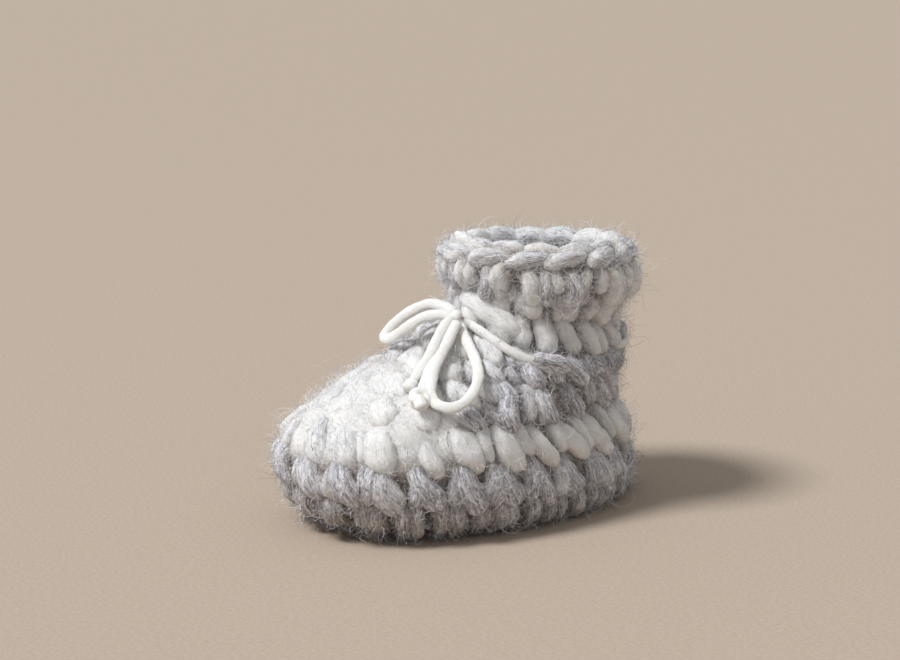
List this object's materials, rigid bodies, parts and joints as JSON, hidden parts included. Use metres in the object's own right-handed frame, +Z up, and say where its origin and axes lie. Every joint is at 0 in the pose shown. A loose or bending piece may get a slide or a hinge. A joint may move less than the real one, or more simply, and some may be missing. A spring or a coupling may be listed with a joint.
{
  "type": "slipper",
  "caption": "Baby's ankle-high slipper bootie in thick crocheted wool with a turned-out cuff, a suede sole bound by edge stitches and a cotton tie bow.",
  "frame": {"origin": "on the floor, under the middle of the wool upper's length and width", "axes": "+Z up, toe towards -Y, heel towards +Y, +X to the wearer's left"},
  "size_m": [0.0722, 0.113, 0.0766],
  "materials": {
    "wool": "thick roving wool, light grey marl and cream, fuzzy and matte",
    "suede": "khaki suede with a short nap, matte",
    "felt": "cream wool felt, matte",
    "cotton": "soft off-white cotton cord, matte"
  },
  "bodies": {
    "root": {"upper": "wool", "suede_sole": "suede", "insole": "felt", "drawcord": "cotton", "bow_knot": "cotton", "bow_loop_near": "cotton", "bow_loop_far": "cotton", "cord_end_upper": "cotton", "cord_end_upper_knot": "cotton", "cord_end_lower": "cotton", "cord_end_lower_knot": "cotton"}
  },
  "joints": []
}
